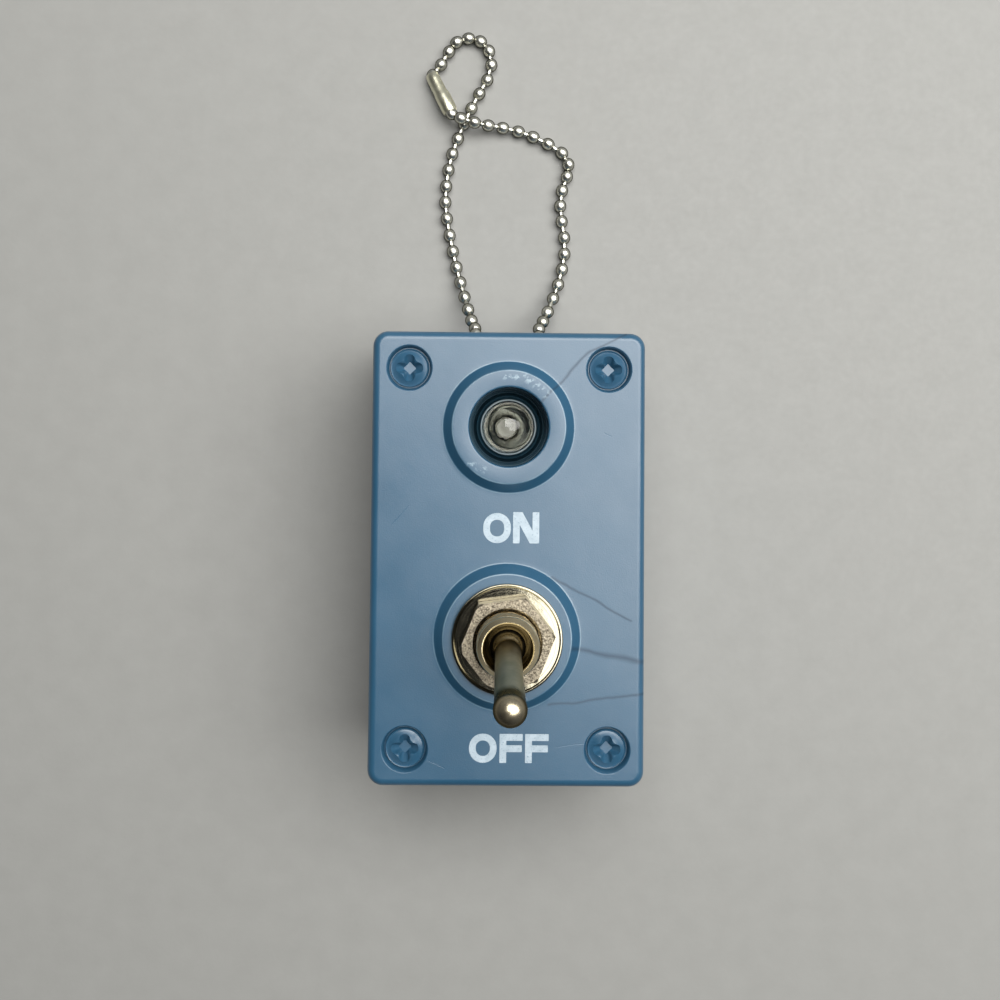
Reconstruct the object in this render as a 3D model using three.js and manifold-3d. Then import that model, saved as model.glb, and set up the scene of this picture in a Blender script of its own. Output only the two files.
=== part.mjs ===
// Keychain light in the shape of a small switch box: a moulded case with a toggle switch and a 5 mm LED on its
// face, a coin cell inside, and a ball chain through two holes in its end wall.
// Millimetres. The case lies on its back cover: +Z is up out of the face, +Y points to the chain end.
import * as THREE from "three";
import { mergeVertices } from "three/addons/utils/BufferGeometryUtils.js";
import Module from "manifold-3d";

const wasm = await Module();
wasm.setup();

// Case
const CASE_WIDTH = 27.1;
const CASE_LENGTH = 44.6;
const CASE_DEPTH = 20;
const CORNER_R = 1.5;
const FACE_EDGE_R = 0.8;
const BACK_EDGE_R = 0.5;
const WALL = 1.5;
const COVER_T = 1.75;
const SPLIT_Z = 1.8;
const RIM_TOP_Z = 3.2;
const RIM_T = 0.9;
const RIM_GAP = 0.15;

// Moulded screw heads on the face, and the real cover screws behind them
const SCREW_X = 9.9;
const SCREW_Y = 18.64;
const POST_R = 2.3;
const PILOT_R = 1.05;
const PILOT_TOP_Z = 9;
const HEAD_R = 1.93;
const HEAD_RING_R = 2.25;
const HEAD_RING_DEPTH = 0.45;
const CROSS_LENGTH = 2.8;
const CROSS_WIDTH = 0.95;
const CROSS_DEPTH = 0.65;
const COVER_SCREW_HEAD_R = 1.8;
const COVER_SCREW_SHANK_R = 0.85;
const COVER_SCREW_TOP_Z = 8;

// Face bosses
const BOSS_H = 1.2;
const LED_Y = 12.87;
const LED_BOSS_BASE_R = 6.45;
const LED_BOSS_TOP_R = 5.6;
const LED_HOLE_R = 3.9;
const SWITCH_Y = -7.73;
const SWITCH_BOSS_BASE_R = 7.15;
const SWITCH_BOSS_TOP_R = 6.3;
const BUSHING_HOLE_R = 3.15;

// LED, 5 mm
const LED_R = 2.5;
const LED_FLANGE_R = 2.9;
const LED_BASE_Z = 13.3;
const LED_FLANGE_T = 1;
const LED_TIP_Z = 20.7;
const LEAD_PITCH = 2.54;
const LEAD_T = 0.5;
const LEAD_END_Z = 9.2;

// Toggle switch: bushing M6, hex nut 8 mm across flats, lever swinging 15 degrees each way
const BUSHING_R = 3;
const BUSHING_BOTTOM_Z = 18.25;
const BUSHING_TOP_Z = 26.9;
const WASHER_R = 5.4;
const WASHER_BORE_R = 3.1;
const WASHER_T = 0.6;
const NUT_FLATS = 8;
const NUT_T = 2;
const NUT_TURN_DEG = -22;
const SEAT_GAP = 0.05;
const PIVOT_Z = 24.8;
const THROW_DEG = 15;
const BALL_R = 1.8;
const LEVER_BASE_R = 1.21;
const LEVER_NECK_R = 1.37;
const LEVER_TIP_R = 1.48;
const LEVER_REACH = 12.8;
const STEM_R = 1.1;
const STEM_BORE_R = 0.75;
const STEM_REACH = 5.3;
const PLUNGER_R = 0.6;
const PLUNGER_REACH = 9.2;
const FRAME_TOP_Z = 18.2;
const FRAME_T = 0.6;
const FRAME_LENGTH = 12.6;
const FRAME_HALF_W = 4;
const FRAME_BORE_R = 2.6;
const BASE_LENGTH = 12.6;
const BASE_WIDTH = 6.8;
const BASE_BOTTOM_Z = 8.6;
const BASE_FLOOR_Z = 12.4;
const BASE_TOP_Z = 17.45;
const TERMINAL_PITCH = 4.7;
const TERMINAL_WIDTH = 1.9;
const TERMINAL_T = 0.8;
const TERMINAL_END_Z = 5;
const TERMINAL_HOLE_Z = 6.1;
const ROCKER_Z = 15.2;
const ROCKER_HALF = 4.9;
const ROCKER_RISE = 0.2;
const ROCKER_T = 0.4;
const ROCKER_WIDTH = 3;
const ROCKER_TILT_DEG = 9;

// Coin cell, 20 mm by 3.2 mm, in a ring on the back cover
const CELL_Y = 8.6;
const CELL_R = 10;
const CELL_BOTTOM_Z = 2.5;
const CELL_T = 3.2;
const CELL_RING_R = 10.95;
const CELL_RING_BORE_R = 10.3;
const CELL_RING_TOP_Z = 5.4;
const CONTACT_X = 4;
const CONTACT_WIDTH = 3;
const CONTACT_T = 0.3;
const WIRE_R = 0.45;

// Ball chain: 1.5 mm balls, through two holes in the end wall
const CHAIN_R = 0.75;
const CHAIN_LIE_Z = 0.77;
const CHAIN_HOLE_R = 1.4;
const CHAIN_HOLE_X = 3.45;
const CHAIN_HOLE_Z = 7;
const CONNECTOR_R = 0.9;
const CONNECTOR_BORE_R = 0.62;

const deg = THREE.MathUtils.degToRad;

// ---- Solids ----

function solidOf(geometry) {
  const bare = geometry.clone();
  bare.deleteAttribute("normal");
  bare.deleteAttribute("uv");
  const merged = mergeVertices(bare, 1e-4);
  const triVerts = new Uint32Array(merged.index.array);
  const vertProperties = new Float32Array(merged.attributes.position.array);
  const made = new wasm.Manifold(new wasm.Mesh({ numProp: 3, vertProperties, triVerts }));
  if (made.volume() > 0) return made;
  for (let i = 0; i < triVerts.length; i += 3) {
    [triVerts[i + 1], triVerts[i + 2]] = [triVerts[i + 2], triVerts[i + 1]];
  }
  return new wasm.Manifold(new wasm.Mesh({ numProp: 3, vertProperties, triVerts }));
}

function geometryOf(solid) {
  const made = solid.getMesh();
  const geometry = new THREE.BufferGeometry();
  geometry.setAttribute("position", new THREE.BufferAttribute(made.vertProperties, 3));
  geometry.setIndex(new THREE.BufferAttribute(made.triVerts, 1));
  geometry.computeVertexNormals();
  return geometry;
}

const joined = (solids) => solids.reduce((whole, piece) => whole.add(piece));
const cut = (solid, tools) => tools.reduce((whole, tool) => whole.subtract(tool), solid);

// A box given by its lowest and highest corners.
function block(low, high) {
  const size = high.map((value, i) => value - low[i]);
  const geometry = new THREE.BoxGeometry(...size);
  geometry.translate(...low.map((value, i) => value + size[i] / 2));
  return solidOf(geometry);
}

// A solid turned about the vertical through (x, y): profile holds [radius, height] pairs.
function turned(profile, segments = 32, x = 0, y = 0) {
  const geometry = new THREE.LatheGeometry(profile.map(([r, z]) => new THREE.Vector2(r, z)), segments);
  geometry.rotateX(Math.PI / 2);
  geometry.translate(x, y, 0);
  return solidOf(geometry);
}

const rod = (r, z0, z1, x = 0, y = 0, segments = 32) =>
  turned([[0, z0], [r, z0], [r, z1], [0, z1]], segments, x, y);

const ring = (bore, r, z0, z1, x = 0, y = 0, segments = 32) =>
  turned([[bore, z0], [r, z0], [r, z1], [bore, z1], [bore, z0]], segments, x, y);

function roundedOutline(width, length, radius) {
  const x = width / 2;
  const y = length / 2;
  const outline = new THREE.Shape();
  outline.moveTo(x - radius, -y);
  outline.absarc(x - radius, -y + radius, radius, -Math.PI / 2, 0, false);
  outline.absarc(x - radius, y - radius, radius, 0, Math.PI / 2, false);
  outline.absarc(-x + radius, y - radius, radius, Math.PI / 2, Math.PI, false);
  outline.absarc(-x + radius, -y + radius, radius, Math.PI, Math.PI * 1.5, false);
  outline.closePath();
  return outline;
}

// A rounded block from z0 to z1 whose top and bottom edges are rounded by edge.
function roundedBlock(width, length, radius, z0, z1, edge = 0) {
  const geometry = new THREE.ExtrudeGeometry(
    roundedOutline(width - 2 * edge, length - 2 * edge, radius - edge),
    {
      depth: z1 - z0 - 2 * edge,
      curveSegments: 5,
      bevelEnabled: edge > 0,
      bevelSize: edge,
      bevelThickness: edge,
      bevelSegments: 4,
    },
  );
  geometry.translate(0, 0, z0 + edge);
  return solidOf(geometry);
}

// A crossed recess, length long and width wide, centred at (x, y) between z0 and z1.
function crossTool(length, width, x, y, z0, z1) {
  const [a, b] = [length / 2, width / 2];
  return block([x - a, y - b, z0], [x + a, y + b, z1]).add(block([x - b, y - a, z0], [x + b, y + a, z1]));
}

// A bent metal strip: its centre line is a list of [y, z], its width runs along X about x.
function strip(line, thickness, width, x) {
  const points = line.map(([y, z]) => new THREE.Vector2(y, z));
  const sides = points.map((point, i) => {
    const before = points[Math.max(i - 1, 0)];
    const after = points[Math.min(i + 1, points.length - 1)];
    const into = point.clone().sub(before).normalize();
    const out = after.clone().sub(point).normalize();
    const along = into.add(out).normalize();
    const turn = Math.max(0.5, Math.abs(along.dot(i ? point.clone().sub(before).normalize() : out)));
    return new THREE.Vector2(-along.y, along.x).multiplyScalar(thickness / 2 / turn);
  });
  const left = points.map((point, i) => point.clone().add(sides[i]));
  const right = points.map((point, i) => point.clone().sub(sides[i])).reverse();
  const geometry = new THREE.ExtrudeGeometry(new THREE.Shape([...left, ...right]), {
    depth: width,
    bevelEnabled: false,
  });
  // The outline's own X and Y become the part's Y and Z.
  const basis = new THREE.Matrix4().makeBasis(
    new THREE.Vector3(0, 1, 0),
    new THREE.Vector3(0, 0, 1),
    new THREE.Vector3(1, 0, 0),
  );
  geometry.applyMatrix4(basis);
  geometry.translate(x - width / 2, 0, 0);
  return solidOf(geometry);
}

// A round tube of radius r along a smooth curve through the points.
function tube(points, r, steps, sides = 8) {
  const section = new THREE.Shape();
  for (let i = 0; i < sides; i++) {
    const turn = (i * 2 * Math.PI) / sides;
    section[i ? "lineTo" : "moveTo"](r * Math.cos(turn), r * Math.sin(turn));
  }
  section.closePath();
  const route = new THREE.CatmullRomCurve3(points.map((point) => new THREE.Vector3(...point)), false, "centripetal");
  return solidOf(new THREE.ExtrudeGeometry(section, { steps, extrudePath: route, bevelEnabled: false }));
}

// ---- Materials ----

const finish = (color, roughness, metalness) => () =>
  new THREE.MeshStandardMaterial({ color, roughness, metalness });
const bluePlastic = finish(0x2f5f96, 0.35, 0);
const darkPlastic = finish(0x14161a, 0.6, 0);
const redPlastic = finish(0x8c1f1c, 0.5, 0);
const whitePlastic = finish(0xe8e6de, 0.5, 0);
const clearEpoxy = finish(0xe6eef2, 0.08, 0);
const nickel = finish(0xc9c7c1, 0.28, 1);
const steel = finish(0xa9abad, 0.4, 1);
const springBrass = finish(0xb89a5c, 0.35, 1);
const blackWire = finish(0x191919, 0.6, 0);
const redWire = finish(0xa3201c, 0.6, 0);
const yellowWire = finish(0xc9a227, 0.6, 0);

const root = new THREE.Group();

function place(name, solid, material, into = root) {
  const mesh = new THREE.Mesh(geometryOf(solid), material());
  mesh.name = name;
  into.add(mesh);
}

const corners = [
  [-1, 1],
  [1, 1],
  [-1, -1],
  [1, -1],
].map(([sx, sy]) => [sx * SCREW_X, sy * SCREW_Y]);

// ---- Case ----

function mouldedHeadTools() {
  const top = CASE_DEPTH + 1;
  return corners.flatMap(([x, y]) => [
    ring(HEAD_R, HEAD_RING_R, CASE_DEPTH - HEAD_RING_DEPTH, top, x, y),
    crossTool(CROSS_LENGTH, CROSS_WIDTH, x, y, CASE_DEPTH - CROSS_DEPTH, top),
  ]);
}

function chainHoleTools() {
  return [-CHAIN_HOLE_X, CHAIN_HOLE_X].map((x) => {
    const geometry = new THREE.CylinderGeometry(CHAIN_HOLE_R, CHAIN_HOLE_R, 3 * WALL, 20);
    geometry.translate(x, CASE_LENGTH / 2 - WALL / 2, CHAIN_HOLE_Z);
    return solidOf(geometry);
  });
}

function frontShell() {
  const ceiling = CASE_DEPTH - WALL;
  const outer = roundedBlock(CASE_WIDTH, CASE_LENGTH, CORNER_R, 0, CASE_DEPTH, FACE_EDGE_R);
  const inner = roundedBlock(CASE_WIDTH - 2 * WALL, CASE_LENGTH - 2 * WALL, 0.6, -1, ceiling);
  const below = block([-CASE_WIDTH, -CASE_LENGTH, -1], [CASE_WIDTH, CASE_LENGTH, SPLIT_Z]);
  const boss = (baseR, topR, y) =>
    turned(
      [
        [0, ceiling],
        [baseR, ceiling],
        [baseR, CASE_DEPTH],
        [topR, CASE_DEPTH + BOSS_H],
        [0, CASE_DEPTH + BOSS_H],
      ],
      48,
      0,
      y,
    );
  const posts = corners.map(([x, y]) => rod(POST_R, SPLIT_Z, ceiling, x, y, 24));
  const pilots = corners.map(([x, y]) => rod(PILOT_R, SPLIT_Z - 1, PILOT_TOP_Z, x, y, 16));
  const above = CASE_DEPTH + BOSS_H + 1;
  return cut(
    joined([
      cut(outer, [inner]),
      ...posts,
      boss(LED_BOSS_BASE_R, LED_BOSS_TOP_R, LED_Y),
      boss(SWITCH_BOSS_BASE_R, SWITCH_BOSS_TOP_R, SWITCH_Y),
    ]),
    [
      below,
      ...pilots,
      rod(LED_HOLE_R, ceiling - 1, above, 0, LED_Y, 40),
      rod(BUSHING_HOLE_R, ceiling - 1, above, 0, SWITCH_Y),
      ...mouldedHeadTools(),
      ...chainHoleTools(),
    ],
  );
}

function backCover() {
  const plate = cut(roundedBlock(CASE_WIDTH, CASE_LENGTH, CORNER_R, 0, 5, BACK_EDGE_R), [
    block([-CASE_WIDTH, -CASE_LENGTH, COVER_T], [CASE_WIDTH, CASE_LENGTH, 6]),
  ]);
  const rimInset = 2 * (WALL + RIM_GAP);
  const rim = cut(roundedBlock(CASE_WIDTH - rimInset, CASE_LENGTH - rimInset, 0.5, COVER_T - 0.5, RIM_TOP_Z), [
    block(
      [-CASE_WIDTH / 2 + rimInset / 2 + RIM_T, -CASE_LENGTH / 2 + rimInset / 2 + RIM_T, 0],
      [CASE_WIDTH / 2 - rimInset / 2 - RIM_T, CASE_LENGTH / 2 - rimInset / 2 - RIM_T, 5],
    ),
    ...corners.map(([x, y]) => rod(POST_R + 0.3, COVER_T, 5, x, y, 24)),
  ]);
  const cellRing = cut(ring(CELL_RING_BORE_R, CELL_RING_R, COVER_T - 0.5, CELL_RING_TOP_Z, 0, CELL_Y, 48), [
    block([-6, CELL_Y - 2 * CELL_R, COVER_T], [6, CELL_Y - CELL_R / 2, 9]),
    ...corners.map(([x, y]) => rod(POST_R + 0.3, COVER_T, 9, x, y, 24)),
  ]);
  return cut(joined([plate, rim, cellRing]), [
    ...corners.map(([x, y]) => rod(COVER_SCREW_HEAD_R + 0.2, -1, 1.1, x, y, 24)),
    ...corners.map(([x, y]) => rod(COVER_SCREW_SHANK_R + 0.25, -1, 3, x, y, 16)),
  ]);
}

function coverScrew(x, y) {
  const profile = [
    [0, 0.1],
    [1.4, 0.1],
    [COVER_SCREW_HEAD_R, 0.4],
    [COVER_SCREW_HEAD_R, 1.05],
    [COVER_SCREW_SHANK_R, 1.05],
    [COVER_SCREW_SHANK_R, COVER_SCREW_TOP_Z - 0.9],
    [0, COVER_SCREW_TOP_Z],
  ];
  return cut(turned(profile, 20, x, y), [crossTool(2, 0.5, x, y, -1, 0.6)]);
}

place("front_shell", frontShell(), bluePlastic);
place("back_cover", backCover(), bluePlastic);
corners.forEach(([x, y], i) => place(`cover_screw_${i + 1}`, coverScrew(x, y), steel));

// ---- LED ----

function ledLens() {
  const shoulder = LED_BASE_Z + LED_FLANGE_T;
  const domeZ = LED_TIP_Z - LED_R;
  const dome = [];
  for (let i = 0; i <= 7; i++) {
    const turn = (i * Math.PI) / 14;
    dome.push([i === 7 ? 0 : LED_R * Math.cos(turn), domeZ + LED_R * Math.sin(turn)]);
  }
  return turned([[0, LED_BASE_Z], [LED_FLANGE_R, LED_BASE_Z], [LED_FLANGE_R, shoulder], [LED_R, shoulder], ...dome], 32, 0, LED_Y);
}

function ledHolder() {
  const profile = [
    [2, 12.4],
    [3.7, 12.4],
    [3.7, 17.3],
    [5, 17.3],
    [5, 18.2],
    [3.05, 18.2],
    [3.05, LED_BASE_Z - SEAT_GAP],
    [2, LED_BASE_Z - SEAT_GAP],
    [2, 12.4],
  ];
  return turned(profile, 36, 0, LED_Y);
}

function ledLead(side) {
  const x = (side * LEAD_PITCH) / 2;
  const half = LEAD_T / 2;
  return block([x - half, LED_Y - half, LEAD_END_Z], [x + half, LED_Y + half, LED_BASE_Z - SEAT_GAP]);
}

place("led_lens", ledLens(), clearEpoxy);
place("led_holder", ledHolder(), darkPlastic);
place("led_anode_lead", ledLead(-1), steel);
place("led_cathode_lead", ledLead(1), steel);

// ---- Cell and its contacts ----

function coinCell() {
  const top = CELL_BOTTOM_Z + CELL_T;
  const profile = [
    [0, CELL_BOTTOM_Z],
    [8.6, CELL_BOTTOM_Z],
    [8.6, CELL_BOTTOM_Z + 0.25],
    [CELL_R, CELL_BOTTOM_Z + 0.5],
    [CELL_R, top - 0.2],
    [CELL_R - 0.2, top],
    [0, top],
  ];
  return turned(profile, 40, 0, CELL_Y);
}

const negativeLine = [[13.5, 1.98], [11.5, 1.98], [9, 2.28], [6.5, 1.98], [-3.2, 1.98], [-3.2, 6.9]];
const positiveLine = [[-7.2, 1.98], [-3, 1.98], [-3, 6.15], [4, 6.15], [8.6, 5.95], [10.5, 6.25]];

place("coin_cell", coinCell(), steel);
place("contact_negative", strip(negativeLine, CONTACT_T - 0.1, CONTACT_WIDTH, -CONTACT_X), springBrass);
place("contact_positive", strip(positiveLine, CONTACT_T, CONTACT_WIDTH, CONTACT_X), springBrass);

// ---- Toggle switch ----

function bushing() {
  const profile = [
    [2.6, BUSHING_BOTTOM_Z],
    [BUSHING_R, BUSHING_BOTTOM_Z],
    [BUSHING_R, BUSHING_TOP_Z - 0.3],
    [BUSHING_R - 0.3, BUSHING_TOP_Z],
    [2.4, BUSHING_TOP_Z],
    [1.68, PIVOT_Z + 1.1],
    [1.98, PIVOT_Z + 0.7],
    [1.98, PIVOT_Z - 2],
    [2.6, PIVOT_Z - 2.4],
    [2.6, BUSHING_BOTTOM_Z],
  ];
  return turned(profile, 40, 0, SWITCH_Y);
}

function switchFrame() {
  const half = FRAME_LENGTH / 2;
  const plate = block(
    [-FRAME_HALF_W, SWITCH_Y - half, FRAME_TOP_Z - FRAME_T],
    [FRAME_HALF_W, SWITCH_Y + half, FRAME_TOP_Z],
  );
  const leg = (x0, x1) => block([x0, SWITCH_Y - 3.2, BASE_BOTTOM_Z + 1], [x1, SWITCH_Y + 3.2, FRAME_TOP_Z]);
  return cut(joined([plate, leg(-FRAME_HALF_W, -3.6), leg(3.6, FRAME_HALF_W)]), [
    rod(FRAME_BORE_R, 10, 20, 0, SWITCH_Y),
  ]);
}

function switchBase() {
  const [halfX, halfY] = [BASE_WIDTH / 2, BASE_LENGTH / 2];
  const outer = block([-halfX, SWITCH_Y - halfY, BASE_BOTTOM_Z], [halfX, SWITCH_Y + halfY, BASE_TOP_Z]);
  const pocket = block(
    [-halfX + 0.8, SWITCH_Y - halfY + 0.7, BASE_FLOOR_Z],
    [halfX - 0.8, SWITCH_Y + halfY - 0.7, BASE_TOP_Z + 1],
  );
  const slots = [-1, 0, 1].map((step) => {
    const y = SWITCH_Y + step * TERMINAL_PITCH;
    return block([-1.1, y - 0.55, BASE_BOTTOM_Z - 1], [1.1, y + 0.55, BASE_FLOOR_Z + 1]);
  });
  return cut(outer, [pocket, ...slots]);
}

function terminal(step, top) {
  const y = SWITCH_Y + step * TERMINAL_PITCH;
  const [halfX, halfY] = [TERMINAL_WIDTH / 2, TERMINAL_T / 2];
  const blade = block([-halfX, y - halfY, TERMINAL_END_Z], [halfX, y + halfY, top]);
  const eyelet = new THREE.CylinderGeometry(0.5, 0.5, 3, 16);
  eyelet.translate(0, y, TERMINAL_HOLE_Z);
  return cut(blade, [solidOf(eyelet)]);
}

function commonTerminal() {
  const saddle = block([-1.2, SWITCH_Y - 0.7, 13.4], [1.2, SWITCH_Y + 0.7, 14.8]);
  return terminal(0, 14.2).add(saddle);
}

const hexNutRadius = NUT_FLATS / 2 / Math.cos(Math.PI / 6);

function hexNut() {
  const base = CASE_DEPTH + BOSS_H + SEAT_GAP + WASHER_T + SEAT_GAP;
  const outline = new THREE.CylinderGeometry(hexNutRadius, hexNutRadius, NUT_T, 6);
  outline.rotateX(Math.PI / 2);
  outline.rotateZ(deg(NUT_TURN_DEG));
  outline.translate(0, SWITCH_Y, base + NUT_T / 2);
  const chamfer = turned(
    [
      [0, base],
      [hexNutRadius - 0.35, base],
      [hexNutRadius + 0.15, base + 0.3],
      [hexNutRadius + 0.15, base + NUT_T - 0.3],
      [hexNutRadius - 0.35, base + NUT_T],
      [0, base + NUT_T],
    ],
    48,
    0,
    SWITCH_Y,
  );
  return cut(solidOf(outline).intersect(chamfer), [rod(WASHER_BORE_R, base - 1, base + NUT_T + 1, 0, SWITCH_Y)]);
}

function lockWasher() {
  const base = CASE_DEPTH + BOSS_H + SEAT_GAP;
  return ring(WASHER_BORE_R, WASHER_R, base, base + WASHER_T, 0, SWITCH_Y, 48);
}

place("switch_bushing", bushing(), nickel);
place("switch_frame", switchFrame(), steel);
place("switch_base", switchBase(), redPlastic);
place("terminal_off", terminal(1, 15), steel);
place("terminal_common", commonTerminal(), steel);
place("terminal_on", terminal(-1, 15), steel);
place("washer", lockWasher(), nickel);
place("hex_nut", hexNut(), nickel);

// The lever, plunger and spring are drawn upright about the pivot and turned to the OFF side.
const lever = new THREE.Group();
lever.position.set(0, SWITCH_Y, PIVOT_Z);
lever.rotation.x = deg(THROW_DEG);
root.add(lever);

function toggleLever() {
  const ballTurn = Math.acos(LEVER_BASE_R / BALL_R);
  const stemTurn = Math.acos(STEM_R / BALL_R);
  const profile = [[0, -STEM_REACH], [STEM_R, -STEM_REACH]];
  for (let i = 0; i <= 8; i++) {
    const turn = -stemTurn + ((ballTurn + stemTurn) * i) / 8;
    profile.push([BALL_R * Math.cos(turn), BALL_R * Math.sin(turn)]);
  }
  profile.push([LEVER_NECK_R, LEVER_REACH - 1.4]);
  const tipStart = -Math.acos(LEVER_NECK_R / LEVER_TIP_R);
  for (let i = 1; i <= 8; i++) {
    const turn = tipStart + ((Math.PI / 2 - tipStart) * i) / 8;
    profile.push([i === 8 ? 0 : LEVER_TIP_R * Math.cos(turn), LEVER_REACH + LEVER_TIP_R * Math.sin(turn)]);
  }
  return cut(turned(profile, 28), [rod(STEM_BORE_R, -STEM_REACH - 1, -1.3, 0, 0, 20)]);
}

function leverPlunger() {
  const profile = [[0, -3.4], [PLUNGER_R, -3.4]];
  for (let i = 0; i <= 5; i++) {
    const turn = (i * Math.PI) / 10;
    profile.push([
      i === 5 ? 0 : PLUNGER_R * Math.cos(turn),
      -PLUNGER_REACH + PLUNGER_R - PLUNGER_R * Math.sin(turn),
    ]);
  }
  return turned(profile, 20);
}

function plungerSpring() {
  const [turns, perTurn, coilR, low, high] = [4, 10, 0.5, -2.9, -1.5];
  const points = [];
  for (let i = 0; i <= turns * perTurn; i++) {
    const turn = (i * 2 * Math.PI) / perTurn;
    points.push([coilR * Math.cos(turn), coilR * Math.sin(turn), low + ((high - low) * i) / (turns * perTurn)]);
  }
  return tube(points, 0.12, turns * perTurn, 6);
}

place("toggle_lever", toggleLever(), nickel, lever);
place("lever_plunger", leverPlunger(), whitePlastic, lever);
place("plunger_spring", plungerSpring(), steel, lever);

// The rocker blade sits on the middle terminal, tipped down on the OFF contact's side.
const rocker = new THREE.Group();
rocker.position.set(0, SWITCH_Y, ROCKER_Z - ROCKER_T / 2);
rocker.rotation.x = deg(-ROCKER_TILT_DEG);
root.add(rocker);

function rockerBlade() {
  const rise = ROCKER_T / 2;
  const end = rise + ROCKER_HALF * ROCKER_RISE;
  return strip([[-ROCKER_HALF, end], [0, rise], [ROCKER_HALF, end]], ROCKER_T, ROCKER_WIDTH, 0);
}

place("rocker_contact", rockerBlade(), springBrass, rocker);

// ---- Wires ----

const wireRoutes = {
  wire_positive: [
    [CONTACT_X, -3.45, 4.6],
    [4.3, -5.5, 4.7],
    [5.4, -8.6, 5.4],
    [4.4, -11.6, 6.1],
    [1.25, -12.43, 6.2],
  ],
  wire_switched: [
    [-1.25, SWITCH_Y, 6.3],
    [-4.5, -8.4, 6.5],
    [-7.4, -5.8, 7.3],
    [-8.3, 0, 8.5],
    [-7, 7, 9.4],
    [-4.6, 11.6, 10],
    [-1.85, LED_Y, 10],
  ],
  wire_negative: [
    [-CONTACT_X, -2.7, 6.5],
    [-3.8, -0.6, 7.2],
    [-1.4, 3.8, 8.6],
    [2.6, 8.3, 9.6],
    [4.4, 11.8, 10],
    [1.85, LED_Y, 10],
  ],
};
const wireColours = { wire_positive: redWire, wire_switched: yellowWire, wire_negative: blackWire };
for (const [name, route] of Object.entries(wireRoutes)) {
  place(name, tube(route, WIRE_R, 24), wireColours[name]);
}

// ---- Ball chain ----

// From behind the end wall, out of the left hole, down to the surface, round the upper loop, to the connector.
const leftRoute = [
  [-1.1, 19.8, CHAIN_HOLE_Z],
  [-2.3, 19.8, CHAIN_HOLE_Z],
  [-3.15, 20.3, CHAIN_HOLE_Z],
  [-3.42, 21.2, CHAIN_HOLE_Z],
  [-3.45, 22.3, 6.85],
  [-3.48, 23.2, 6.2],
  [-3.55, 23.85, 5.1],
  [-4, 24.95, 3.75],
  [-4.44, 26.44, 2.5],
  [-4.98, 28.3, 1.65],
  [-5.52, 30.2, 1.12],
  [-6, 32.1, 0.86],
  [-6.42, 34, CHAIN_LIE_Z],
  [-7.1, 37.9, CHAIN_LIE_Z],
  [-7.15, 39.9, CHAIN_LIE_Z],
  [-6.6, 43.8, CHAIN_LIE_Z],
  [-5.3, 47.5, CHAIN_LIE_Z],
  [-3.68, 51, CHAIN_LIE_Z],
  [-2.65, 52.75, CHAIN_LIE_Z],
  [-2.05, 54.55, CHAIN_LIE_Z],
  [-2.2, 56.3, CHAIN_LIE_Z],
  [-3.2, 57.6, CHAIN_LIE_Z],
  [-4.65, 58, CHAIN_LIE_Z],
  [-6.05, 57.55, CHAIN_LIE_Z],
  [-7, 56.3, CHAIN_LIE_Z],
  [-7.6, 55.1, CHAIN_LIE_Z],
  [-8.2, 54.55, 0.85],
];
// From the connector over the first strand, down the right side and into the right hole.
const rightRoute = [
  [-6.35, 48.45, 2.35],
  [-5.6, 48.25, 2.5],
  [-4.75, 47.95, 2.5],
  [-3.6, 47.75, 2.15],
  [-2.1, 47.62, 1.45],
  [-0.35, 47.45, 1],
  [1.55, 47.05, CHAIN_LIE_Z],
  [3.37, 46.35, CHAIN_LIE_Z],
  [4.9, 45.6, CHAIN_LIE_Z],
  [6.2, 44.75, CHAIN_LIE_Z],
  [6.97, 43.5, CHAIN_LIE_Z],
  [6.85, 42.05, CHAIN_LIE_Z],
  [6.35, 40.6, CHAIN_LIE_Z],
  [6.09, 39.1, CHAIN_LIE_Z],
  [6.17, 37.4, CHAIN_LIE_Z],
  [6.5, 35.4, CHAIN_LIE_Z],
  [6.64, 33.5, CHAIN_LIE_Z],
  [6.4, 31.6, 0.86],
  [5.96, 29.65, 1.15],
  [5.33, 27.85, 1.7],
  [4.65, 26.1, 2.5],
  [4, 24.75, 3.75],
  [3.55, 23.85, 5.1],
  [3.48, 23.2, 6.2],
  [3.45, 22.3, 6.85],
  [3.42, 21.2, CHAIN_HOLE_Z],
  [3.15, 20.3, CHAIN_HOLE_Z],
  [2.3, 19.8, CHAIN_HOLE_Z],
  [1.1, 19.8, CHAIN_HOLE_Z],
];

// A split sleeve from its upper end on the surface to its lower end, which is lifted by the crossing.
const connectorEnds = [new THREE.Vector3(-8.88, 53.62, 0.95), new THREE.Vector3(-6.6, 48.98, 2)];

function chainConnector() {
  const length = connectorEnds[0].distanceTo(connectorEnds[1]);
  const sleeve = ring(CONNECTOR_BORE_R, CONNECTOR_R, 0, length, 0, 0, 20);
  const slit = block([0, -0.25, -1], [CONNECTOR_R + 1, 0.25, length + 1]);
  return cut(sleeve, [slit]);
}

const connector = new THREE.Group();
connector.position.copy(connectorEnds[0]);
connector.up.set(1, 0, 0);
connector.lookAt(connectorEnds[1]);
root.add(connector);

place("chain_strand_left", tube(leftRoute, CHAIN_R, 40), nickel);
place("chain_strand_right", tube(rightRoute, CHAIN_R, 38), nickel);
place("chain_connector", chainConnector(), nickel, connector);

export default root;
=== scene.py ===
"""Looks of a keychain light shaped like a small switch box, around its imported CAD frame.
Shapes are written in millimetres and scaled to metres when a piece is finished."""
import math

import bmesh
import bpy
from mathutils import Matrix, Vector


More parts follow.
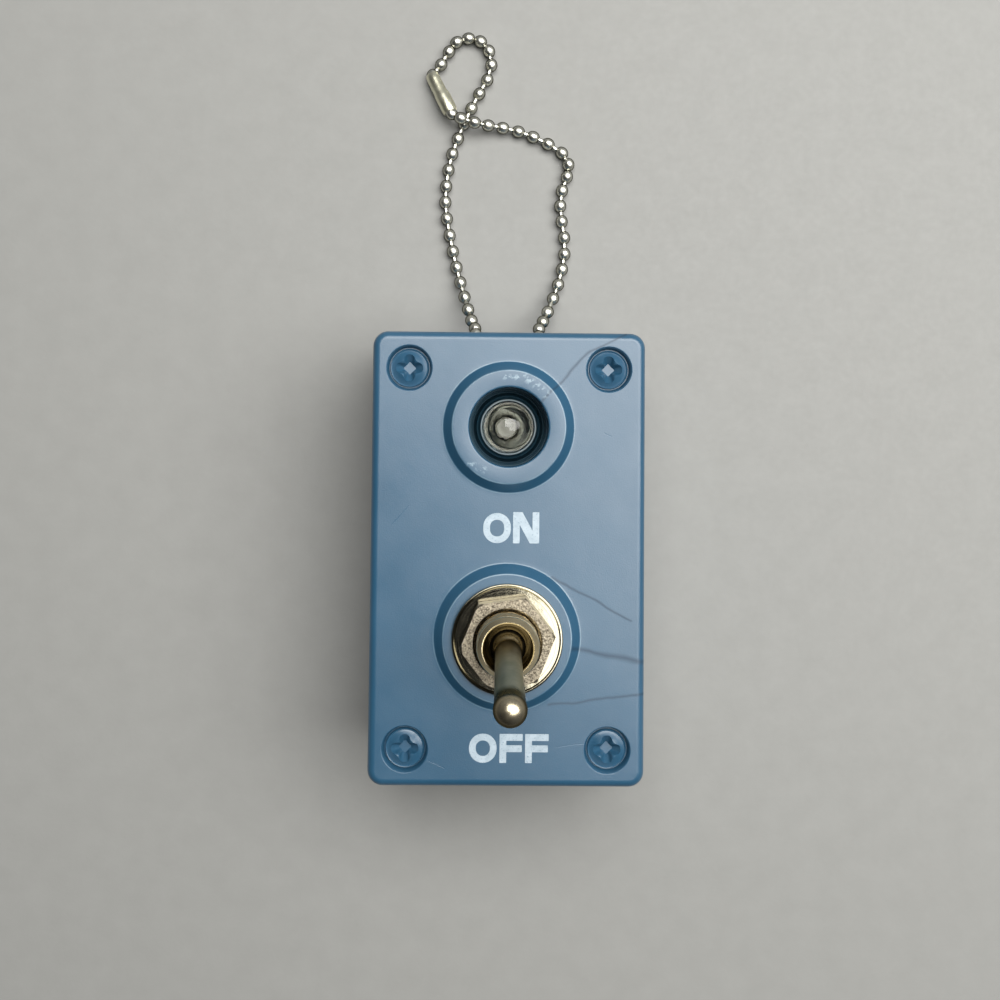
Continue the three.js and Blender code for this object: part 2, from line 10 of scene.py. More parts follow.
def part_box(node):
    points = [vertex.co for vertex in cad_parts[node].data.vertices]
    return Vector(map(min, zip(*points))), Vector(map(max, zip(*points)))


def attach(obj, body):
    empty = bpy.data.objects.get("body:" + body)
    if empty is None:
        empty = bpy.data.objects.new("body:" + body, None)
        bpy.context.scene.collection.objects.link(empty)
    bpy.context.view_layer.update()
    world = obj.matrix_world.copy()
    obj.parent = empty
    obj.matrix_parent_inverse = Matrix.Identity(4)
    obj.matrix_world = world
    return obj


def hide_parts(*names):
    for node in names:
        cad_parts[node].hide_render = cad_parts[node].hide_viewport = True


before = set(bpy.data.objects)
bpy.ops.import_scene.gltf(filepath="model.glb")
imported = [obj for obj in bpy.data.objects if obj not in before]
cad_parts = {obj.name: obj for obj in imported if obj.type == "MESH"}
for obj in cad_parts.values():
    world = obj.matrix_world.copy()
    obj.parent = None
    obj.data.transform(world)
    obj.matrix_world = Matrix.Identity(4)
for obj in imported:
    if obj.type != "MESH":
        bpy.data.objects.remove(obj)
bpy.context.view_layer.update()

MM = 0.001  # metres in a millimetre
SCENE = bpy.context.scene


def box_mm(node):
    low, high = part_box(node)
    return Vector(low) / MM, Vector(high) / MM


def middle_mm(node):
    low, high = box_mm(node)
    return (low + high) / 2


# Case
CASE_LOW, CASE_HIGH = box_mm("front_shell")
CASE_WIDTH = CASE_HIGH.x - CASE_LOW.x
CASE_LENGTH = CASE_HIGH.y - CASE_LOW.y
BOSS_H = 1.2
FACE_Z = CASE_HIGH.z - BOSS_H
SPLIT_Z = CASE_LOW.z
CORNER_R = 1.5
FACE_EDGE_R = 0.8
BACK_EDGE_R = 0.5
WALL = 1.5
COVER_T = 1.75

# Moulded screw heads, and the real screws behind them
SCREW_X = 9.9
SCREW_Y = 18.64
HEAD_R = 1.93
HEAD_RING_R = 2.25
HEAD_RING_DEPTH = 0.88
SHANK_R = 0.85
SCREW_PITCH = 0.8
SCREW_THREAD = 0.44

# LED
LED_Y = middle_mm("led_lens").y
LED_BOSS_BASE_R = 6.45
LED_BOSS_TOP_R = 5.6
LED_HOLE_R = 3.9
LED_R = 2.5
LED_TIP_Z = box_mm("led_lens")[1].z
LED_BASE_Z = box_mm("led_lens")[0].z

# Toggle switch
SWITCH_Y = middle_mm("washer").y
SWITCH_BOSS_BASE_R = 7.15
SWITCH_BOSS_TOP_R = 6.3
BUSHING_HOLE_R = 3.15
BUSHING_R = 3
BUSHING_TOP_Z = box_mm("switch_bushing")[1].z
BUSHING_BOTTOM_Z = box_mm("switch_bushing")[0].z
THREAD_PITCH = 0.75
THREAD_DEPTH = 0.3
WASHER_LOW_Z = box_mm("washer")[0].z
WASHER_HIGH_Z = box_mm("washer")[1].z
WASHER_R = 5.4
NUT_LOW_Z = box_mm("hex_nut")[0].z
NUT_HIGH_Z = box_mm("hex_nut")[1].z
NUT_FLATS = 8
NUT_TURN = math.radians(-22)
PIVOT = Vector((0, SWITCH_Y, 24.8))
THROW = math.radians(15)
LEVER_AXIS = Matrix.Rotation(THROW, 3, "X") @ Vector((0, 0, 1))
BALL_R = 1.8
LEVER_BASE_R = 1.21
LEVER_NECK_R = 1.37
LEVER_TIP_R = 1.48
LEVER_REACH = 12.8

# Ball chain: the route runs through the middles of its balls, from one end to the other
BEAD_R = 0.75
LINK_R = 0.26
BEAD_PITCH = 1.97  # on a straight run
TIGHTEST_PITCH = 1.45  # in the tightest bend
PITCH_LOSS = 1.3  # taken off the pitch for each radian of bend in a millimetre
BEND_REACH = 0.8  # how far along the chain, each way, a ball's bend is measured
CHAIN_HOLE_R = 1.4
CHAIN_HOLE_X = 3.45
CHAIN_HOLE_Z = 7
CONNECTOR_ENDS = [Vector((-8.88, 53.62, 0.95)), Vector((-6.6, 48.98, 2))]
CHAIN_ROUTE = [
    (-1.1, 19.8, 7),
    (-2.3, 19.8, 7),
    (-3.15, 20.3, 7),
    (-3.42, 21.2, 7),
    (-3.45, 22.3, 6.85),
    (-3.48, 23.2, 6.2),
    (-3.55, 23.85, 5.1),
    (-4, 24.95, 3.75),
    (-4.44, 26.44, 2.5),
    (-4.98, 28.3, 1.65),
    (-5.52, 30.2, 1.12),
    (-6, 32.1, 0.86),
    (-6.42, 34, 0.77),
    (-7.1, 37.9, 0.77),
    (-7.15, 39.9, 0.77),
    (-6.6, 43.8, 0.77),
    (-5.3, 47.5, 0.77),
    (-3.68, 51, 0.77),
    (-2.65, 52.75, 0.77),
    (-2.05, 54.55, 0.77),
    (-2.2, 56.3, 0.77),
    (-3.2, 57.6, 0.77),
    (-4.65, 58, 0.77),
    (-6.05, 57.55, 0.77),
    (-7, 56.3, 0.77),
    (-7.6, 55.1, 0.77),
    (-8.2, 54.55, 0.85),
    (-8.8, 53.62, 0.95),
    (-8.46, 52.78, 1.14),
    (-7.74, 51.3, 1.48),
    (-7, 49.8, 1.82),
    (-6.6, 48.98, 2.02),
    (-6.35, 48.45, 2.35),
    (-5.6, 48.25, 2.5),
    (-4.75, 47.95, 2.5),
    (-3.6, 47.75, 2.15),
    (-2.1, 47.62, 1.45),
    (-0.35, 47.45, 1),
    (1.55, 47.05, 0.77),
    (3.37, 46.35, 0.77),
    (4.9, 45.6, 0.77),
    (6.2, 44.75, 0.77),
    (6.97, 43.5, 0.77),
    (6.85, 42.05, 0.77),
    (6.35, 40.6, 0.77),
    (6.09, 39.1, 0.77),
    (6.17, 37.4, 0.77),
    (6.5, 35.4, 0.77),
    (6.64, 33.5, 0.77),
    (6.4, 31.6, 0.86),
    (5.96, 29.65, 1.15),
    (5.33, 27.85, 1.7),
    (4.65, 26.1, 2.5),
    (4, 24.75, 3.75),
    (3.55, 23.85, 5.1),
    (3.48, 23.2, 6.2),
    (3.45, 22.3, 6.85),
    (3.42, 21.2, 7),
    (3.15, 20.3, 7),
    (2.3, 19.8, 7),
    (1.1, 19.8, 7),
]


# ---- Camera ----

CAMERA_AT = Vector((-2.427, 11.914, 142.059))
CAMERA_TURN = (2.6176, -0.7358, 0.5459)  # degrees
SENSOR_WIDTH = 36
FOCAL_LENGTH = 44.44
CAMERA_SHIFT = -0.12  # in sensor widths


def make_camera():
    data = bpy.data.cameras.new("camera")
    data.sensor_width = SENSOR_WIDTH
    data.lens = FOCAL_LENGTH
    data.shift_y = CAMERA_SHIFT
    camera = bpy.data.objects.new("camera", data)
    camera.location = CAMERA_AT * MM
    camera.rotation_euler = [math.radians(turn) for turn in CAMERA_TURN]
    SCENE.collection.objects.link(camera)
    SCENE.camera = camera


# ---- Mesh tools ----

def new_object(name, bm):
    bmesh.ops.recalc_face_normals(bm, faces=bm.faces)
    mesh = bpy.data.meshes.new(name)
    bm.to_mesh(mesh)
    bm.free()
    made = bpy.data.objects.new(name, mesh)
    SCENE.collection.objects.link(made)
    return made


def bake(piece):
    """Replaces a piece's mesh by what its modifiers make of it."""
    bpy.context.view_layer.update()
    graph = bpy.context.evaluated_depsgraph_get()
    mesh = bpy.data.meshes.new_from_object(piece.evaluated_get(graph))
    piece.modifiers.clear()
    piece.data = mesh


def carved(base, joins=(), cuts=(), commons=()):
    """Joins tools to a base, keeps what it shares with others and cuts the rest away."""
    steps = [("UNION", joins), ("INTERSECT", commons), ("DIFFERENCE", cuts)]
    for operation, tools in steps:
        for tool in tools:
            step = base.modifiers.new(tool.name, "BOOLEAN")
            step.operation = operation
            step.object = tool
            step.solver = "EXACT"
    bake(base)
    for tool in (*joins, *commons, *cuts):
        bpy.data.objects.remove(tool)


def finish_piece(piece, material, body, replaced=(), crease=35, weighted=False):
    """Scales a piece to metres and gives it its material, shading, body and replaced nodes."""
    piece.data.transform(Matrix.Scale(MM, 4))
    piece.data.materials.clear()
    piece.data.materials.append(material)
    piece.data.shade_smooth()
    piece.data.set_sharp_from_angle(angle=math.radians(crease))
    if weighted:
        step = piece.modifiers.new("normals", "WEIGHTED_NORMAL")
        step.keep_sharp = True
        step.weight = 100
        bake(piece)
    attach(piece, body)
    if replaced:
        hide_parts(*replaced)
    return piece


def filleted(corners, steps=6):
    """A closed outline: each corner is (x, y) or (x, y, radius), and a radius rounds it off."""
    outline = []
    for i, corner in enumerate(corners):
        here = Vector(corner[:2])
        radius = corner[2] if len(corner) > 2 else 0
        if not radius:
            outline.append(here)
            continue
        before = (Vector(corners[i - 1][:2]) - here).normalized()
        after = (Vector(corners[(i + 1) % len(corners)][:2]) - here).normalized()
        half = before.angle(after) / 2
        centre = here + (before + after).normalized() * radius / math.sin(half)
        start = here + before * radius / math.tan(half) - centre
        end = here + after * radius / math.tan(half) - centre
        sweep = math.pi - 2 * half
        for step in range(steps + 1):
            turn = sweep * step / steps
            reach = start * math.sin(sweep - turn) + end * math.sin(turn)
            outline.append(centre + reach / math.sin(sweep))
    return outline


def join_rings(bm, lower, upper):
    """Faces between two rings of points, either of which may be a single point."""
    if len(lower) == len(upper) == 1:
        return
    count = max(len(lower), len(upper))
    for i in range(count):
        j = (i + 1) % count
        corners = [lower[i % len(lower)], lower[j % len(lower)]]
        corners += [upper[j % len(upper)], upper[i % len(upper)]]
        bm.faces.new(list(dict.fromkeys(corners)))


def add_turned(bm, profile, segments, matrix, radius_at=None):
    """A solid turned about matrix's Z: profile is a closed list of (radius, height).

    radius_at, where given, makes each point's own radius from its radius, height and turn.
    """
    rings = []
    for radius, height in profile:
        count = 1 if radius < 1e-6 else segments
        ring = []
        for i in range(count):
            turn = 2 * math.pi * i / count
            reach = radius_at(radius, height, turn) if radius_at else radius
            point = Vector((reach * math.cos(turn), reach * math.sin(turn), height))
            ring.append(bm.verts.new(matrix @ point))
        rings.append(ring)
    for lower, upper in zip(rings, rings[1:] + rings[:1]):
        join_rings(bm, lower, upper)


def turned(name, profile, segments=64, x=0, y=0, radius_at=None):
    """A turned solid as an object of its own, upright at (x, y)."""
    bm = bmesh.new()
    add_turned(bm, profile, segments, Matrix.Translation((x, y, 0)), radius_at)
    return new_object(name, bm)


def stacked(name, layers, x=0, y=0):
    """A solid through (outline, height) layers whose outlines have equal numbers of points."""
    bm = bmesh.new()
    rings = [[bm.verts.new((x + p[0], y + p[1], z)) for p in outline] for outline, z in layers]
    for lower, upper in zip(rings, rings[1:]):
        join_rings(bm, lower, upper)
    bm.faces.new(rings[0])
    bm.faces.new(rings[-1])
    return new_object(name, bm)


def rounded_rectangle(width, length, radius):
    x, y = width / 2, length / 2
    return filleted([(x, -y, radius), (x, y, radius), (-x, y, radius), (-x, -y, radius)], 8)


def rounded_block(name, width, length, radius, low, high, low_edge=0, high_edge=0):
    """A block with rounded upright edges whose lowest and highest edges are rounded too."""
    layers = []
    for edge, level, side in ((low_edge, low, -1), (high_edge, high, 1)):
        steps = 6 if edge else 0
        levels = []
        for step in range(steps + 1):
            turn = math.pi / 2 * (step / steps if steps else 1)
            inset = edge * (1 - math.cos(turn)) if edge else 0
            outline = rounded_rectangle(width - 2 * inset, length - 2 * inset, radius - inset)
            levels.append((outline, level - side * edge * (1 - math.sin(turn))))
        layers += levels[::-1] if side < 0 else levels
    return stacked(name, layers)


def block(name, low, high):
    """A plain block between two opposite corners."""
    outline = [(low[0], low[1]), (high[0], low[1]), (high[0], high[1]), (low[0], high[1])]
    return stacked(name, [(outline, low[2]), (outline, high[2])])


def frame_along(start, direction):
    """A matrix that puts Z along a direction from a point."""
    turn = direction.to_track_quat("Z", "Y").to_matrix().to_4x4()
    return Matrix.Translation(start) @ turn


# ---- Shader nodes ----

def add_node(tree, kind, inputs=None, **settings):
    """A node with its inputs, each of them a socket to link or a plain value."""
    made = tree.nodes.new(kind)
    for key, value in settings.items():
        setattr(made, key, value)
    for key, value in (inputs or {}).items():
        if isinstance(value, bpy.types.NodeSocket):
            tree.links.new(value, made.inputs[key])
        else:
            made.inputs[key].default_value = value
    return made


def calculate(tree, operation, first, second=0.0):
    return add_node(tree, "ShaderNodeMath", {0: first, 1: second}, operation=operation).outputs[0]


def vector_math(tree, operation, *values):
    """A vector, or a number from a dot product or a distance."""
    made = add_node(tree, "ShaderNodeVectorMath", dict(enumerate(values)), operation=operation)
    return made.outputs["Value" if operation in ("DOT_PRODUCT", "DISTANCE") else "Vector"]


def spread(tree, factor, low, high, start=0.3, end=0.7):
    """A factor from start to end turned into a value from low to high."""
    inputs = {"Value": factor, "From Min": start, "From Max": end, "To Min": low, "To Max": high}
    return add_node(tree, "ShaderNodeMapRange", inputs).outputs["Result"]


def blend(tree, factor, first, second):
    """A mix of two colours, each of them a socket or three numbers."""
    inputs = {0: factor}
    for index, colour in ((6, first), (7, second)):
        inputs[index] = colour if isinstance(colour, bpy.types.NodeSocket) else (*colour, 1)
    return add_node(tree, "ShaderNodeMix", inputs, data_type="RGBA").outputs[2]


def position(tree):
    return add_node(tree, "ShaderNodeTexCoord").outputs["Object"]


def height_of(tree, vector):
    return add_node(tree, "ShaderNodeSeparateXYZ", {"Vector": vector}).outputs["Z"]


def noise(tree, size, detail=3):
    """Noise whose patches are about size millimetres across."""
    inputs = {"Vector": position(tree), "Scale": [1 / (size * MM)] * 3}
    mapping = add_node(tree, "ShaderNodeMapping", inputs)
    inputs = {"Vector": mapping.outputs[0], "Scale": 1, "Detail": detail}
    return add_node(tree, "ShaderNodeTexNoise", inputs).outputs["Fac"]


def mottled(tree, size, detail, light, dark):
    """Two colours mixed in patches."""
    return blend(tree, spread(tree, noise(tree, size, detail), 0, 1), light, dark)


def bump(tree, height, depth, normal=None):
    """Bump of a height from 0 to 1 that stands for depth millimetres."""
    inputs = {"Height": height, "Distance": depth * MM, "Strength": 1.0}
    if normal:
        inputs["Normal"] = normal
    return add_node(tree, "ShaderNodeBump", inputs).outputs["Normal"]


def from_axis(tree, y):
    """Millimetres from an upright axis at x = 0."""
    flat = vector_math(tree, "MULTIPLY", position(tree), (1, 1, 0))
    return calculate(tree, "MULTIPLY", vector_math(tree, "DISTANCE", flat, Vector((0, y, 0)) * MM), 1 / MM)


def painted_edge_shade(tree, colour, dark, start, end):
    """A metal painted darker where it is seen at a grazing angle: painted shade at its edges."""
    facing = add_node(tree, "ShaderNodeLayerWeight", {"Blend": 0.5}).outputs["Facing"]
    return blend(tree, spread(tree, facing, 0, 0.93, start, end), colour, dark)


# ---- Marks on the face ----

# Knit lines where the plastic met round the holes, scratches and scuffs, as (start, end, width).
KNIT_LINES = [
    ((2.45, 14.7), (8.0, 20.4), 0.21),
    ((8.0, 20.4), (11.5, 22.2), 0.16),
    ((6.4, -8.9), (13.3, -10.1), 0.36),
    ((4.2, -14.4), (13.3, -13.1), 0.2),
    ((4.2, -1.9), (12.2, -6.2), 0.2),
]
SCRATCHES = [
    ((-7.7, -19.6), (-6.0, -20.3), 0.05),
    ((9.6, 12.4), (10.3, 12.1), 0.05),
    ((4.9, -18.3), (8.6, -18.1), 0.03),
    ((-11.5, 3.2), (-9.8, 5.1), 0.03),
]
SCUFFS = [
    ((-0.9, 17.8), (1.6, 17.9), 0.35),
    ((1.6, 17.9), (3.7, 16.2), 0.5),
    ((-3.7, 9.3), (-2.3, 8.6), 0.45),
]
# Painted highlights along the rims of the two bosses, as (centre y, radius, strength): the crest and the
# foot of each.
RIM_HIGHLIGHTS = [
    (LED_Y, LED_BOSS_TOP_R - 0.04, 0.55),
    (LED_Y, LED_BOSS_BASE_R + 0.08, 0.34),
    (SWITCH_Y, SWITCH_BOSS_TOP_R - 0.04, 0.55),
    (SWITCH_Y, SWITCH_BOSS_BASE_R + 0.08, 0.34),
]
# How long and how wide the lines waver.
WAVE_SIZE = 5
WAVE_REACH = 1.2


def wavering(tree):
    """The position, pushed about by a fraction of a millimetre, so that lines aren't quite straight."""
    inputs = {"Vector": position(tree), "Scale": 1 / (WAVE_SIZE * MM), "Detail": 3.0}
    wave = add_node(tree, "ShaderNodeTexNoise", inputs).outputs["Color"]
    shift = vector_math(tree, "MULTIPLY_ADD", wave, [WAVE_REACH * MM] * 3, [-WAVE_REACH / 2 * MM] * 3)
    return vector_math(tree, "ADD", position(tree), shift)


def near_segment(tree, start, end, width):
    """1 on a line between two points of the face, falling to 0 at width millimetres beside it."""
    start, end = Vector((*start, 0)) * MM, Vector((*end, 0)) * MM
    along = (end - start).normalized()
    flat = vector_math(tree, "MULTIPLY", wavering(tree), (1, 1, 0))
    offset = vector_math(tree, "SUBTRACT", flat, start)
    inputs = {
        "Value": vector_math(tree, "DOT_PRODUCT", offset, along),
        "Min": 0.0,
        "Max": (end - start).length,
    }
    held = add_node(tree, "ShaderNodeClamp", inputs).outputs[0]
    foot = add_node(tree, "ShaderNodeVectorMath", {0: along, "Scale": held}, operation="SCALE")
    gap = vector_math(tree, "DISTANCE", offset, foot.outputs[0])
    return spread(tree, gap, 1.0, 0.0, 0.0, width * MM)


def on_face(tree, marks):
    """The strongest of some marks, kept to the face and its bosses."""
    whole = marks[0]
    for mark in marks[1:]:
        whole = calculate(tree, "MAXIMUM", whole, mark)
    level = height_of(tree, position(tree))
    upper = spread(tree, level, 0, 1, (FACE_Z - 1.2) * MM, (FACE_Z - 0.5) * MM)
    return calculate(tree, "MULTIPLY", whole, upper)


def lines_on_face(tree, lines):
    return on_face(tree, [near_segment(tree, *line) for line in lines])


def painted_rim_highlights(tree):
    """Pale, patchy lines painted along the rims of the bosses as highlights."""
    lines = []
    for y, radius, strength in RIM_HIGHLIGHTS:
        gap = calculate(tree, "ABSOLUTE", calculate(tree, "SUBTRACT", from_axis(tree, y), radius))
        lines.append(spread(tree, gap, strength, 0, 0.02, 0.085))
    patchy = spread(tree, noise(tree, 3, 3), 0.3, 1, 0.35, 0.6)
    return calculate(tree, "MULTIPLY", on_face(tree, lines), patchy)


def chips(tree):
    """Pale ragged marks where the rim of the upper boss was scuffed."""
    flakes = spread(tree, noise(tree, 0.35, 5), 0, 1, 0.52, 0.6)
    return calculate(tree, "MULTIPLY", flakes, lines_on_face(tree, SCUFFS))


# ---- Colours and finishes ----

def blue_colour(tree):
    cloudy = mottled(tree, 9, 4, (0.02, 0.082, 0.15), (0.025, 0.092, 0.165))
    specks = spread(tree, noise(tree, 0.25, 2), 0, 0.3, 0.55, 0.75)
    speckled = blend(tree, specks, cloudy, (0.035, 0.105, 0.18))
    lines = calculate(tree, "MULTIPLY", lines_on_face(tree, KNIT_LINES), 0.75)
    knitted = blend(tree, lines, speckled, (0.006, 0.032, 0.068))
    # Pale scuffs, and pale lines painted along the boss rims as highlights.
    scuffs_and_highlights = calculate(tree, "MAXIMUM", calculate(tree, "MULTIPLY", chips(tree), 0.7), painted_rim_highlights(tree))
    return blend(tree, scuffs_and_highlights, knitted, (0.3, 0.42, 0.5))


def blue_roughness(tree):
    worn = spread(tree, noise(tree, 4, 5), 0.28, 0.34)
    dull = calculate(tree, "MULTIPLY", lines_on_face(tree, KNIT_LINES), 0.22)
    shiny = calculate(tree, "MULTIPLY", lines_on_face(tree, SCRATCHES), 0.12)
    return calculate(tree, "SUBTRACT", calculate(tree, "ADD", worn, dull), shiny)


def blue_normal(tree):
    grain = bump(tree, noise(tree, 0.13, 3), 0.008)
    waves = bump(tree, noise(tree, 5, 2), 0.03, grain)
    return bump(tree, calculate(tree, "SUBTRACT", 1.0, lines_on_face(tree, SCRATCHES)), 0.008, waves)


def turning_marks(tree):
    """Fine rings round the switch's axis."""
    inputs = {"W": from_axis(tree, SWITCH_Y), "Scale": 9.0, "Detail": 4.0}
    return add_node(tree, "ShaderNodeTexNoise", inputs, noise_dimensions="1D").outputs["Fac"]


def lever_height(tree):
    """Millimetres along the lever from its pivot."""
    offset = vector_math(tree, "SUBTRACT", position(tree), PIVOT * MM)
    return calculate(tree, "MULTIPLY", vector_math(tree, "DOT_PRODUCT", offset, LEVER_AXIS), 1 / MM)


def rod_colour(tree):
    """Plain nickel along the rod, warmer at the tip with painted shade towards its edges, and painted dark
    round the ball as shade.
    """
    height = lever_height(tree)
    plain = mottled(tree, 1.1, 5, (0.5, 0.45, 0.33), (0.37, 0.34, 0.24))
    # The tip is painted darker towards its edges: painted shade.
    warm = painted_edge_shade(tree, (0.62, 0.54, 0.38), (0.05, 0.042, 0.03), 0.14, 0.55)
    clean = blend(tree, spread(tree, height, 0, 0.95, 10.8, 11.8), plain, warm)
    # Painted shade round the ball, where it sits in the bushing's seat.
    return blend(tree, spread(tree, height, 1, 0, 1.3, 3), clean, (0.24, 0.2, 0.12))


def rod_roughness(tree):
    """Satin along the rod, and a little smoother on the ball and the tip."""
    height = lever_height(tree)
    ball = spread(tree, height, 1, 0, 1.4, 2.2)
    tip = spread(tree, height, 0, 1, 10.8, 11.6)
    smoother = calculate(tree, "MULTIPLY", calculate(tree, "MAXIMUM", ball, tip), 0.06)
    return calculate(tree, "SUBTRACT", spread(tree, noise(tree, 0.6, 4), 0.3, 0.4), smoother)


def bushing_colour(tree):
    """Warm nickel, painted dark inside the bore as shade."""
    clean = mottled(tree, 1.1, 5, (0.72, 0.62, 0.42), (0.54, 0.46, 0.3))
    return blend(tree, spread(tree, from_axis(tree, SWITCH_Y), 1, 0, 2.3, 2.42), clean, (0.12, 0.1, 0.06))


def nut_colour(tree):
    return mottled(tree, 0.16, 4, (0.42, 0.37, 0.28), (0.06, 0.05, 0.038))


def chain_colour(tree):
    clean = mottled(tree, 1.1, 5, (0.86, 0.85, 0.76), (0.64, 0.63, 0.55))
    # The balls are painted darker towards their edges: painted shade.
    return painted_edge_shade(tree, clean, (0.08, 0.08, 0.068), 0.28, 0.62)


def clip_colour(tree):
    """Dark plastic, with a pale painted highlight along the lip that stands round the LED."""
    dark = mottled(tree, 3, 4, (0.02, 0.054, 0.078), (0.014, 0.04, 0.06))
    lip = spread(tree, from_axis(tree, LED_Y), 1, 0, 2.78, 2.84)
    return blend(tree, calculate(tree, "MULTIPLY", lip, 0.8), dark, (0.3, 0.36, 0.38))


def ink_colour(tree):
    """Pale ink with specks of the blue under it."""
    pale = mottled(tree, 0.7, 4, (0.47, 0.56, 0.63), (0.36, 0.45, 0.52))
    return blend(tree, spread(tree, noise(tree, 0.2, 4), 0, 0.7, 0.58, 0.7), pale, (0.12, 0.22, 0.32))


# ---- Materials ----

def new_material(name, colour, roughness, normal, **values):
    """A Principled material: colour, roughness and normal are functions that make a socket, or None."""
    material = bpy.data.materials.new(name)
    material.use_nodes = True
    tree = material.node_tree
    surface = tree.nodes["Principled BSDF"]
    for key, value in values.items():
        surface.inputs[key.replace("_", " ")].default_value = value
    for key, make in (("Base Color", colour), ("Roughness", roughness), ("Normal", normal)):
        if make:
            tree.links.new(make(tree), surface.inputs[key])
    return material


def metal(name, colour, roughness, grain=0.3, depth=0.006, **values):
    return new_material(
        name,
        colour,
        lambda tree: spread(tree, noise(tree, 0.5, 4), *roughness),
        lambda tree: bump(tree, noise(tree, grain, 4), depth),
        Metallic=1.0,
        **values,
    )


def plated(name, light, dark, roughness, depth=0.006):
    return metal(name, lambda tree: mottled(tree, 1.1, 5, light, dark), roughness, depth=depth)


def plastic(name, colour, roughness, grain=0.3, depth=0.005, **values):
    return new_material(
        name,
        colour,
        lambda tree: spread(tree, noise(tree, 0.8, 3), *roughness),
        lambda tree: bump(tree, noise(tree, grain, 3), depth),
        **values,
    )


def moulded(name, light, dark, roughness, grain=0.3, depth=0.005):
    return plastic(name, lambda tree: mottled(tree, 3, 4, light, dark), roughness, grain, depth)


BLUE = new_material("blue_plastic", blue_colour, blue_roughness, blue_normal, Specular_IOR_Level=0.85)
RED_PLASTIC = moulded("red_plastic", (0.26, 0.02, 0.015), (0.2, 0.015, 0.012), (0.4, 0.55))
WHITE_PLASTIC = moulded("white_plastic", (0.75, 0.73, 0.68), (0.66, 0.64, 0.6), (0.4, 0.5))
PHOSPHOR = moulded("phosphor", (0.36, 0.34, 0.29), (0.26, 0.25, 0.2), (0.3, 0.45))
PAPER = moulded("paper", (0.3, 0.3, 0.288), (0.285, 0.285, 0.273), (0.6, 0.7), 0.6, 0.01)
CLIP_PLASTIC = plastic("clip_plastic", clip_colour, (0.3, 0.4), Specular_IOR_Level=0.12)
WHITE_INK = plastic("white_ink", ink_colour, (0.4, 0.5), 0.2, 0.01)
SHEATH_FINISH = ((0.4, 0.5), 0.4, 0.01)
WIRES = {
    "wire_positive": moulded("red_sheath", (0.36, 0.02, 0.015), (0.28, 0.016, 0.012), *SHEATH_FINISH),
    "wire_switched": moulded("yellow_sheath", (0.6, 0.38, 0.04), (0.5, 0.3, 0.03), *SHEATH_FINISH),
    "wire_negative": moulded("black_sheath", (0.015, 0.015, 0.015), (0.01, 0.01, 0.01), *SHEATH_FINISH),
}

NICKEL = plated("nickel", (0.66, 0.61, 0.49), (0.5, 0.45, 0.35), (0.14, 0.26), 0.003)
CLASP_NICKEL = plated("clasp_nickel", (0.82, 0.8, 0.64), (0.68, 0.66, 0.5), (0.3, 0.42), 0.01)
CUP_PLATE = plated("cup_plate", (0.46, 0.46, 0.42), (0.34, 0.34, 0.3), (0.28, 0.4))
STEEL = plated("steel", (0.5, 0.5, 0.5), (0.4, 0.4, 0.41), (0.3, 0.45))
BRASS = plated("brass", (0.62, 0.45, 0.2), (0.5, 0.36, 0.15), (0.25, 0.4))
BUSHING_NICKEL = metal("bushing_nickel", bushing_colour, (0.12, 0.24), depth=0.003)
NUT_NICKEL = metal("nut_nickel", nut_colour, (0.3, 0.45), 0.14, 0.03)
CHAIN_NICKEL = metal(
    "chain_nickel", chain_colour, (0.24, 0.38), depth=0.008, Specular_Tint=(0.4, 0.39, 0.35, 1)
)
ROD_NICKEL = new_material(
    "rod_nickel",
    rod_colour,
    rod_roughness,
    lambda tree: bump(tree, noise(tree, 0.5, 3), 0.0015),
    Metallic=1.0,
    Specular_Tint=(0.45, 0.43, 0.37, 1),
)
WASHER_NICKEL = new_material(
    "washer_nickel",
    lambda tree: blend(tree, turning_marks(tree), (0.4, 0.375, 0.29), (0.22, 0.2, 0.145)),
    lambda tree: spread(tree, turning_marks(tree), 0.05, 0.12),
    lambda tree: bump(tree, noise(tree, 0.9, 4), 0.006),
    Metallic=1.0,
)
EPOXY = new_material(
    "epoxy",
    None,
    lambda tree: spread(tree, noise(tree, 0.7, 4), 0.02, 0.07),
    lambda tree: bump(tree, noise(tree, 1.6, 3), 0.012),
    Transmission_Weight=1.0,
    IOR=1.52,
    Base_Color=(0.93, 0.97, 0.98, 1),
)


# ---- Ball chain ----

def spline(points, steps=12):
    """A centripetal Catmull-Rom line through the points."""
    points = [Vector(point) for point in points]
    ends = [2 * points[0] - points[1], *points, 2 * points[-1] - points[-2]]
    line = []
    for a, b, c, d in zip(ends, ends[1:], ends[2:], ends[3:]):
        ab, bc, cd = (math.sqrt((q - p).length) for p, q in ((a, b), (b, c), (c, d)))
        out = ((b - a) / ab - (c - a) / (ab + bc) + (c - b) / bc) * bc
        into = ((c - b) / bc - (d - b) / (bc + cd) + (d - c) / cd) * bc
        for step in range(steps):
            t = step / steps
            line.append(
                b * (2 * t**3 - 3 * t**2 + 1)
                + out * (t**3 - 2 * t**2 + t)
                + c * (3 * t**2 - 2 * t**3)
                + into * (t**3 - t**2)
            )
    return [*line, points[-1]]


def lengths_along(line):
    """The length of a line up to each of its points."""
    total = [0]
    for a, b in zip(line, line[1:]):
        total.append(total[-1] + (b - a).length)
    return total


def point_at(line, lengths, reach):
    """The point that is this far along a line."""
    index = next((i for i, length in enumerate(lengths) if length > reach), len(lengths) - 1)
    start = lengths[index - 1]
    share = (reach - start) / (lengths[index] - start)
    return line[index - 1].lerp(line[index], min(share, 1))


